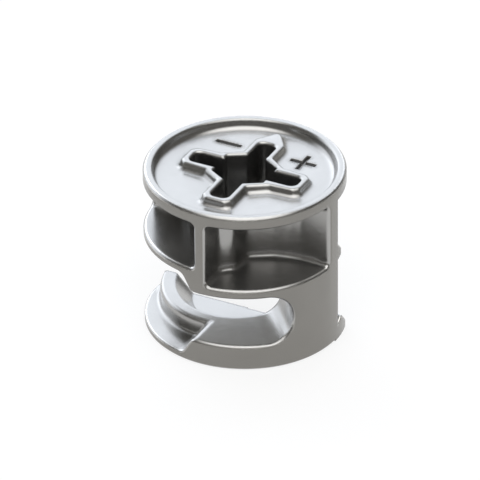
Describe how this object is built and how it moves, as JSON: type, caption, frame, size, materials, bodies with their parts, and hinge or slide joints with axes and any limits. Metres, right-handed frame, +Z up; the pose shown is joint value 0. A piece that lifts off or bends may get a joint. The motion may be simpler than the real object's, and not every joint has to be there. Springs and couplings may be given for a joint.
{
  "type": "furniture cam lock housing",
  "caption": "Round die-cast cam housing with a hexagon and cross drive, side windows and a spiral slot that draws in a connecting bolt.",
  "frame": {"origin": "middle of the lower face, on the cam's turning axis", "axes": "+Z up to the driver face along the turning axis, +X the way the arrow on the face points, which is the side the bolt comes in from"},
  "size_m": [0.0148, 0.0148, 0.0129],
  "materials": {
    "zinc_casting": "satin"
  },
  "bodies": {
    "root": {"cam_housing": "zinc_casting"}
  },
  "joints": []
}
